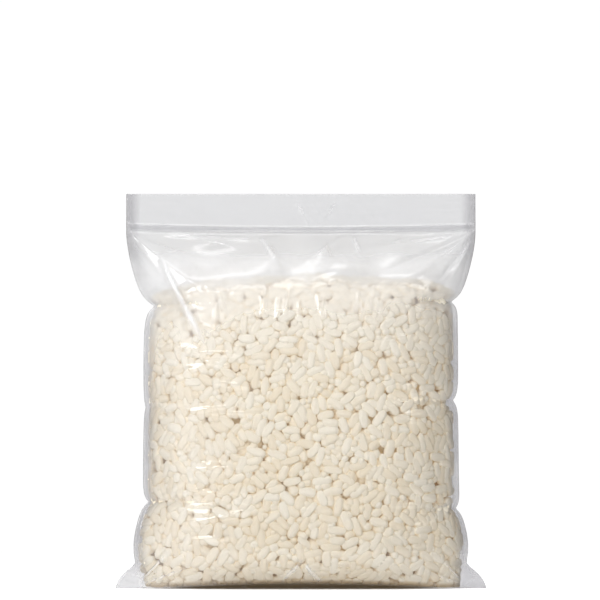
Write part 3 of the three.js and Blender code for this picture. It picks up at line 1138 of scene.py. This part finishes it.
def makeZip(name, material, wall):
    # One half of the closed track: a bar along the band behind its rib, bowed with the band,
    # with a flattened oval section, rounded in at both ends. The two halves lie face to face.
    along = np.linspace(-1, 1, track["stations"])[:, None]
    turn = np.linspace(0, 2 * np.pi, track["sides"], endpoint=False)[None]
    closing = np.clip((1 - np.abs(along)) * track["endSlope"], 0.02, 1) ** 0.5
    c, s = np.cos(turn), np.sin(turn)
    bow = film["bandBow"] * (1 - along**2) - film["bandBow"] / 2
    x = track["halfLength"] * along + 0 * turn
    y = wall * track["halfDepth"] * (0.52 + 0.48 * np.sign(c) * np.abs(c) ** 0.7) * closing
    z = track["middle"] - bow + track["halfHeight"] * np.sign(s) * np.abs(s) ** 0.6 * closing
    points = np.stack([x, y, z], -1)
    ends = np.stack([points[0].mean(0), points[-1].mean(0)])
    ring = np.arange(x.size).reshape(x.shape)
    faces = ringFaces(ring, x.size, x.size + 1)
    if wall < 0:
        faces = [np.ascontiguousarray(rows[:, ::-1]) for rows in faces]
    piece = makePiece(name, np.concatenate([points.reshape(-1, 3), ends]), faces, material)


zipLook = dict(
    filmLook,
    clear=(0.98, 0.98, 0.983, 1),
    edge=(0.9, 0.9, 0.91, 1),
    haze=0.02,
    slackHaze=0.0,
    dustAndSheenHaze=0.0,
)
zipMaterial = filmMaterial("zip_clear", zipLook)
makeZip("zip_front", zipMaterial, -1)
makeZip("zip_back", zipMaterial, 1)
print("zip track in place")


stage = {
    "floorSize": 6000,
    "paper": (0.93, 0.93, 0.93, 1),
    "white": (1, 1, 1, 1),
    "glowRange": (0.03, 0.08),  # from the bag's middle, in metres
    "floorGlow": 0.25,  # share of the floor's glow that reaches the bag
    "backdrop": 1.02,
    "ambient": 0.17,
    "glossAmbient": 0.2,
}


def makeFloor():
    # White paper that glows white to the camera a little way off from the bag.
    half = stage["floorSize"] / 2 * mm
    corners = [(-half, -half, 0), (half, -half, 0), (half, half, 0), (-half, half, 0)]
    mesh = bpy.data.meshes.new("floor")
    mesh.from_pydata(corners, [], [(0, 1, 2, 3)])
    material, tree = newMaterial("floor_paper")
    away = addNode(tree, "ShaderNodeVectorMath", operation="LENGTH")
    tree.links.new(addNode(tree, "ShaderNodeTexCoord").outputs["Object"], away.inputs[0])
    far = mapRange(tree, away.outputs["Value"], *stage["glowRange"], curve="SMOOTHSTEP")
    seen = addNode(tree, "ShaderNodeLightPath").outputs["Is Camera Ray"]
    strength = mathNode(tree, "MULTIPLY", far, mapRange(tree, seen, 0, 1, stage["floorGlow"], 1))
    paper = addNode(tree, "ShaderNodeBsdfDiffuse", Color=stage["paper"])
    glow = addNode(tree, "ShaderNodeEmission", Color=stage["white"], Strength=strength)
    both = feedAll(tree, addNode(tree, "ShaderNodeAddShader"), (paper.outputs[0], glow.outputs[0]))
    addNode(tree, "ShaderNodeOutputMaterial", Surface=both.outputs[0])
    mesh.materials.append(material)
    floor = bpy.data.objects.new("floor", mesh)
    bpy.context.scene.collection.objects.link(floor)


def makeWorld():
    # White where the camera looks past the bag, softer as light on the bag and as its reflection.
    world = bpy.data.worlds.new("studio")
    world.use_nodes = True
    tree = world.node_tree
    tree.nodes.clear()
    rays = addNode(tree, "ShaderNodeLightPath")
    seen, soft, mirror = (
        addNode(tree, "ShaderNodeBackground", Color=stage["white"], Strength=stage[key])
        for key in ("backdrop", "ambient", "glossAmbient")
    )
    lit = mixShader(tree, rays.outputs["Is Glossy Ray"], soft, mirror)
    whole = mixShader(tree, rays.outputs["Is Camera Ray"], lit, seen)
    addNode(tree, "ShaderNodeOutputWorld", Surface=whole.outputs[0])
    bpy.context.scene.world = world


# Softboxes: place, aim, size across and up, power in watts, and whether it only lights things
# ("diffuse"), only shows as a reflection ("glossy"), or both
lights = {
    "front": ((-430, -770, 620), (0, 0, 70), (700, 700), 6.5, "diffuse"),
    "crown": ((20, -300, 420), (0, 0, 110), (240, 120), 0.38, "diffuse"),
    "key": ((-600, -540, 430), (0, 0, 90), (280, 340), 2.0, "glossy"),
    "glint": ((-300, -700, 640), (0, 0, 90), (260, 260), 0.95, "glossy"),
    "sky": ((-67, -444, 999), (0, 0, 110), (420, 200), 0.7, "glossy"),
    "veil": ((-900, -420, 160), (0, 0, 60), (500, 700), 0.6, "glossy"),
    "top": ((0, -60, 760), (0, 0, 60), (800, 500), 1.1, "both"),
    "rear": ((300, 820, 620), (0, 0, 70), (700, 700), 1.8, "diffuse"),
    "right": ((620, -580, 360), (0, 0, 110), (200, 260), 0.5, "glossy"),
}


def addLights():
    for name, (place, aim, size, power, shines) in lights.items():
        light = bpy.data.lights.new(name, "AREA")
        light.shape = "RECTANGLE"
        light.size = size[0] * mm
        light.size_y = size[1] * mm
        light.energy = power
        lamp = bpy.data.objects.new(name, light)
        lamp.location = [coordinate * mm for coordinate in place]
        way = np.subtract(aim, place)
        across = np.hypot(way[0], way[1])
        lamp.rotation_euler = (atan2(across, -way[2]), 0, atan2(way[1], way[0]) - radians(90))
        lamp.visible_glossy = shines != "diffuse"
        lamp.visible_diffuse = shines != "glossy"
        bpy.context.scene.collection.objects.link(lamp)


makeFloor()
makeWorld()
addLights()
bpy.context.scene.view_settings.view_transform = "Standard"
bpy.context.scene.cycles.diffuse_bounces = 8
bpy.context.scene.cycles.transparent_max_bounces = 16
print("stage and lights ready")
